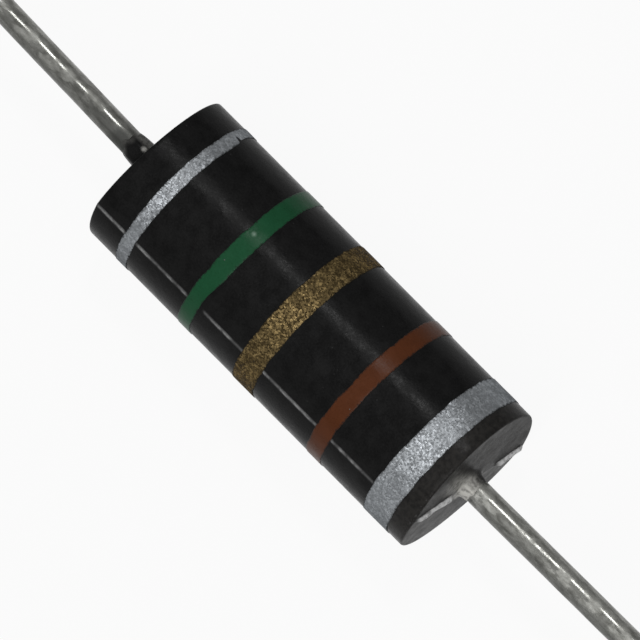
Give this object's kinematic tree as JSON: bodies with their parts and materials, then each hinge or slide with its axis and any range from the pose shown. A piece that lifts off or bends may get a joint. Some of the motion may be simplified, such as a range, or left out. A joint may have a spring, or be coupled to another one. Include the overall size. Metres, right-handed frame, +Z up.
{
  "type": "axial inductor",
  "caption": "Moulded axial inductor: black cylindrical body with painted value bands and a straight tinned wire lead on each end, holding a core wound with copper wire.",
  "frame": {"origin": "middle of the moulded body, on the lead axis", "axes": "+X along the lead axis towards the end with the wide silver band, +Z up"},
  "size_m": [0.0764, 0.0042, 0.0042],
  "materials": {
    "black_epoxy": "semi-matte moulded epoxy",
    "tinned_wire": "dull hot-dipped tin",
    "iron_powder": "pressed iron powder",
    "enamelled_copper": "clear enamel on copper",
    "solder": "frozen solder",
    "silver_paint": "silver flake paint",
    "gold_paint": "gold flake paint",
    "green_paint": "semi-gloss paint",
    "brown_paint": "semi-gloss paint"
  },
  "bodies": {
    "root": {"moulded_body": "black_epoxy", "core": "iron_powder", "winding": "enamelled_copper", "near_lead": "tinned_wire", "far_lead": "tinned_wire", "near_solder_bead": "solder", "far_solder_bead": "solder", "narrow_silver_band": "silver_paint", "green_band": "green_paint", "gold_band": "gold_paint", "brown_band": "brown_paint", "wide_silver_band": "silver_paint"}
  },
  "joints": []
}
